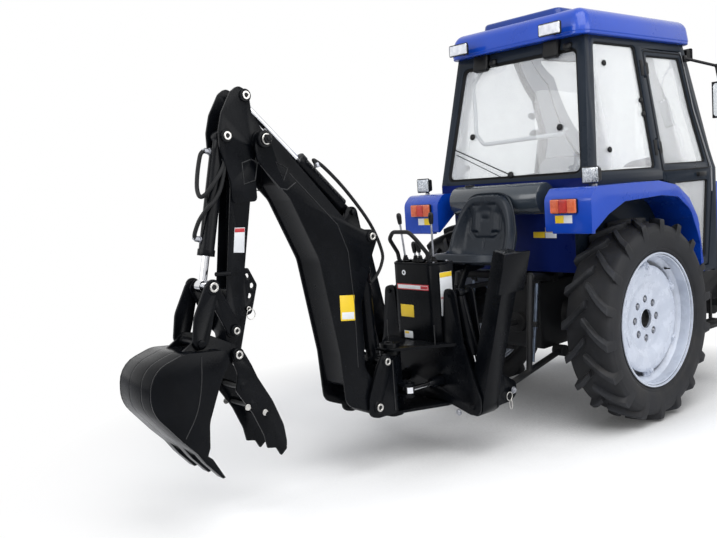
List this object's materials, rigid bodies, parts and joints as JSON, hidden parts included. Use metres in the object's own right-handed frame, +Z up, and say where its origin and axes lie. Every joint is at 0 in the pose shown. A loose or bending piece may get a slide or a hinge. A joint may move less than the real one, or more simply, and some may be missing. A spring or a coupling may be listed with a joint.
{
  "type": "cab tractor with rear backhoe",
  "caption": "Compact cab tractor with a three-point mounted backhoe: swinging boom, dipper, bucket with mechanical thumb, seat and console, and two stabilizer legs.",
  "frame": {"origin": "middle of the whole machine's box, on the ground under the tyres", "axes": "+X towards the tractor's nose, +Y to its left, +Z up"},
  "size_m": [5.3876, 1.48, 2.3766],
  "materials": {
    "blue_paint": "gloss blue enamel",
    "black_paint": "satin black enamel",
    "slate_paint": "dark slate enamel",
    "cast_black": "black painted castings",
    "rim_paint": "off-white enamel",
    "tyre": "dull black rubber",
    "chrome": "hard chrome",
    "glass": "clear safety glass",
    "vinyl": "black vinyl",
    "plastic": "black moulded plastic",
    "lamp": "clear and white lamp plastic"
  },
  "bodies": {
    "root": {"engine_block": "cast_black", "transmission": "cast_black", "front_bolster": "cast_black", "front_axle": "cast_black", "cab_frame": "slate_paint", "cab_roof": "blue_paint", "cab_glass": "glass", "rear_fenders": "blue_paint", "dash": "plastic", "driver_seat": "vinyl", "fuel_tank": "plastic", "lamps": "lamp", "mirrors": "plastic", "oil_tank": "black_paint", "hitch_links": "cast_black", "backhoe_frame": "black_paint", "console": "black_paint", "console_controls": "plastic", "operator_seat": "vinyl", "swing_barrels": "black_paint"},
    "hood": {"hood": "blue_paint", "grille": "plastic"},
    "swing": {"swing_frame": "black_paint"},
    "boom": {"boom": "black_paint"},
    "boom_barrel": {"boom_barrel": "black_paint"},
    "boom_rod": {"boom_rod": "chrome"},
    "dipper": {"dipper": "black_paint"},
    "dipper_barrel": {"dipper_barrel": "black_paint"},
    "dipper_rod": {"dipper_rod": "chrome"},
    "bucket": {"bucket": "black_paint"},
    "bucket_barrel": {"bucket_barrel": "black_paint"},
    "bucket_rod": {"bucket_rod": "chrome"},
    "guide_link": {"guide_link": "black_paint"},
    "bucket_link": {"bucket_link": "black_paint"},
    "thumb": {"thumb": "black_paint"},
    "thumb_strut": {"thumb_strut": "black_paint"},
    "left_rear_wheel": {"left_rear_tyre": "tyre", "left_rear_rim": "rim_paint"},
    "left_front_wheel": {"left_front_tyre": "tyre", "left_front_rim": "rim_paint"},
    "left_knuckle": {"left_knuckle": "cast_black"},
    "left_door": {"left_door": "slate_paint", "left_door_glass": "glass"},
    "left_swing_rod": {"left_swing_rod": "chrome"},
    "left_stabilizer": {"left_stabilizer": "black_paint"},
    "left_stabilizer_barrel": {"left_stabilizer_barrel": "black_paint"},
    "left_stabilizer_rod": {"left_stabilizer_rod": "chrome"},
    "right_rear_wheel": {"right_rear_tyre": "tyre", "right_rear_rim": "rim_paint"},
    "right_front_wheel": {"right_front_tyre": "tyre", "right_front_rim": "rim_paint"},
    "right_knuckle": {"right_knuckle": "cast_black"},
    "right_door": {"right_door": "slate_paint", "right_door_glass": "glass"},
    "right_swing_rod": {"right_swing_rod": "chrome"},
    "right_stabilizer": {"right_stabilizer": "black_paint"},
    "right_stabilizer_barrel": {"right_stabilizer_barrel": "black_paint"},
    "right_stabilizer_rod": {"right_stabilizer_rod": "chrome"}
  },
  "joints": [
    {"name": "left_rear_wheel_spin", "type": "hinge", "parent": "root", "child": "left_rear_wheel", "pos_m": [0.114, 0.6, 0.575], "axis": [0, 1, 0], "continuous": true},
    {"name": "right_rear_wheel_spin", "type": "hinge", "parent": "root", "child": "right_rear_wheel", "pos_m": [0.114, -0.6, 0.575], "axis": [0, 1, 0], "continuous": true},
    {"name": "left_steer", "type": "hinge", "parent": "root", "child": "left_knuckle", "pos_m": [2.014, 0.43, 0.39], "axis": [0, 0, 1], "range_deg": [-40, 40]},
    {"name": "left_front_wheel_spin", "type": "hinge", "parent": "left_knuckle", "child": "left_front_wheel", "pos_m": [2.014, 0.58, 0.39], "axis": [0, 1, 0], "continuous": true},
    {"name": "right_steer", "type": "hinge", "parent": "root", "child": "right_knuckle", "pos_m": [2.014, -0.43, 0.39], "axis": [0, 0, 1], "range_deg": [-40, 40]},
    {"name": "right_front_wheel_spin", "type": "hinge", "parent": "right_knuckle", "child": "right_front_wheel", "pos_m": [2.014, -0.58, 0.39], "axis": [0, 1, 0], "continuous": true},
    {"name": "left_door_hinge", "type": "hinge", "parent": "root", "child": "left_door", "pos_m": [0.498, 0.527, 1.524], "axis": [-0.0947, -0.1009, 0.9904], "range_deg": [0, 70]},
    {"name": "right_door_hinge", "type": "hinge", "parent": "root", "child": "right_door", "pos_m": [0.498, -0.527, 1.524], "axis": [0.0947, -0.1009, -0.9904], "range_deg": [0, 70]},
    {"name": "hood_hinge", "type": "hinge", "parent": "root", "child": "hood", "pos_m": [1.234, 0, 1.29], "axis": [0, -1, 0], "range_deg": [0, 50]},
    {"name": "swing", "type": "hinge", "parent": "root", "child": "swing", "pos_m": [-1.286, 0, 0.43], "axis": [0, 0, 1], "range_deg": [-65, 65]},
    {"name": "left_swing_rod_slide", "type": "slide", "parent": "root", "child": "left_swing_rod", "axis": [1, 0, 0], "range_m": [-0.1209, 0.1209]},
    {"name": "right_swing_rod_slide", "type": "slide", "parent": "root", "child": "right_swing_rod", "axis": [1, 0, 0], "range_m": [-0.1209, 0.1209]},
    {"name": "boom", "type": "hinge", "parent": "swing", "child": "boom", "pos_m": [-1.486, 0, 0.34], "axis": [0, -1, 0], "range_deg": [-4, 100]},
    {"name": "boom_barrel_pivot", "type": "hinge", "parent": "swing", "child": "boom_barrel", "pos_m": [-1.416, 0, 0.558], "axis": [0, -1, 0], "range_deg": [-5.96, 112.95]},
    {"name": "boom_rod_slide", "type": "slide", "parent": "boom_barrel", "child": "boom_rod", "axis": [-0.0507, 0, 0.9987], "range_m": [-0.0157, 0.3215]},
    {"name": "dipper", "type": "hinge", "parent": "boom", "child": "dipper", "pos_m": [-2.031, 0, 1.668], "axis": [0, 1, 0], "range_deg": [-8, 95]},
    {"name": "dipper_barrel_pivot", "type": "hinge", "parent": "boom", "child": "dipper_barrel", "pos_m": [-1.511, 0, 1.312], "axis": [0, -1, 0], "range_deg": [-11.81, 2.37]},
    {"name": "dipper_rod_slide", "type": "slide", "parent": "dipper_barrel", "child": "dipper_rod", "axis": [-0.7238, 0, 0.69], "range_m": [-0.2749, 0.0259]},
    {"name": "bucket", "type": "hinge", "parent": "dipper", "child": "bucket", "pos_m": [-2.252, 0, 0.748], "axis": [0, -1, 0], "range_deg": [-25, 30]},
    {"name": "guide_link_pivot", "type": "hinge", "parent": "dipper", "child": "guide_link", "pos_m": [-2.242, 0, 0.85], "axis": [0, -1, 0], "range_deg": [-30.36, 36.14]},
    {"name": "bucket_link_pivot", "type": "hinge", "parent": "guide_link", "child": "bucket_link", "pos_m": [-2.343, 0, 1.054], "axis": [0, -1, 0], "range_deg": [-14.94, 12.7]},
    {"name": "bucket_barrel_pivot", "type": "hinge", "parent": "dipper", "child": "bucket_barrel", "pos_m": [-2.198, 0, 1.689], "axis": [0, -1, 0], "range_deg": [-10.36, 8.89]},
    {"name": "bucket_rod_slide", "type": "slide", "parent": "bucket_barrel", "child": "bucket_rod", "axis": [-0.2226, 0, -0.9749], "range_m": [-0.0678, 0.0808]},
    {"name": "thumb", "type": "hinge", "parent": "dipper", "child": "thumb", "pos_m": [-2.252, 0, 0.748], "axis": [0, -1, 0], "range_deg": [-12, 60]},
    {"name": "thumb_strut_pivot", "type": "hinge", "parent": "thumb", "child": "thumb_strut", "pos_m": [-2.216, 0, 0.7], "axis": [0, -1, 0], "range_deg": [-61.5, 13.5]},
    {"name": "left_stabilizer", "type": "hinge", "parent": "root", "child": "left_stabilizer", "pos_m": [-0.981, 0.347, 0.278], "axis": [-1, 0, 0], "range_deg": [0, 95]},
    {"name": "left_stabilizer_barrel_pivot", "type": "hinge", "parent": "root", "child": "left_stabilizer_barrel", "pos_m": [-0.981, 0.225, 0.85], "axis": [-1, 0, 0], "range_deg": [-14.04, 1.5]},
    {"name": "left_stabilizer_rod_slide", "type": "slide", "parent": "left_stabilizer_barrel", "child": "left_stabilizer_rod", "axis": [0, 0.2497, -0.9683], "range_m": [-0.003, 0.1589]},
    {"name": "right_stabilizer", "type": "hinge", "parent": "root", "child": "right_stabilizer", "pos_m": [-0.981, -0.347, 0.278], "axis": [1, 0, 0], "range_deg": [0, 95]},
    {"name": "right_stabilizer_barrel_pivot", "type": "hinge", "parent": "root", "child": "right_stabilizer_barrel", "pos_m": [-0.981, -0.225, 0.85], "axis": [1, 0, 0], "range_deg": [-14.04, 1.5]},
    {"name": "right_stabilizer_rod_slide", "type": "slide", "parent": "right_stabilizer_barrel", "child": "right_stabilizer_rod", "axis": [0, -0.2497, -0.9683], "range_m": [-0.003, 0.1589]}
  ],
  "couplings": [
    {"joint": "right_steer", "follows": "left_steer", "ratio": 1},
    {"joint": "left_swing_rod_slide", "follows": "swing", "m_per_rad": -0.1039},
    {"joint": "right_swing_rod_slide", "follows": "swing", "m_per_rad": 0.1039},
    {"joint": "boom_barrel_pivot", "follows": "boom", "ratio": 1.1145},
    {"joint": "boom_rod_slide", "follows": "boom", "m_per_rad": 0.1825},
    {"joint": "dipper_barrel_pivot", "follows": "dipper", "ratio": -0.1085},
    {"joint": "dipper_rod_slide", "follows": "dipper", "m_per_rad": -0.164},
    {"joint": "guide_link_pivot", "follows": "bucket", "ratio": 1.1545},
    {"joint": "bucket_link_pivot", "follows": "bucket", "ratio": -0.448},
    {"joint": "bucket_barrel_pivot", "follows": "bucket", "ratio": -0.2955},
    {"joint": "bucket_rod_slide", "follows": "bucket", "m_per_rad": 0.1485},
    {"joint": "thumb_strut_pivot", "follows": "thumb", "ratio": -1},
    {"joint": "left_stabilizer_barrel_pivot", "follows": "left_stabilizer", "ratio": -0.132},
    {"joint": "left_stabilizer_rod_slide", "follows": "left_stabilizer", "m_per_rad": 0.094},
    {"joint": "right_stabilizer_barrel_pivot", "follows": "right_stabilizer", "ratio": -0.132},
    {"joint": "right_stabilizer_rod_slide", "follows": "right_stabilizer", "m_per_rad": 0.094}
  ]
}
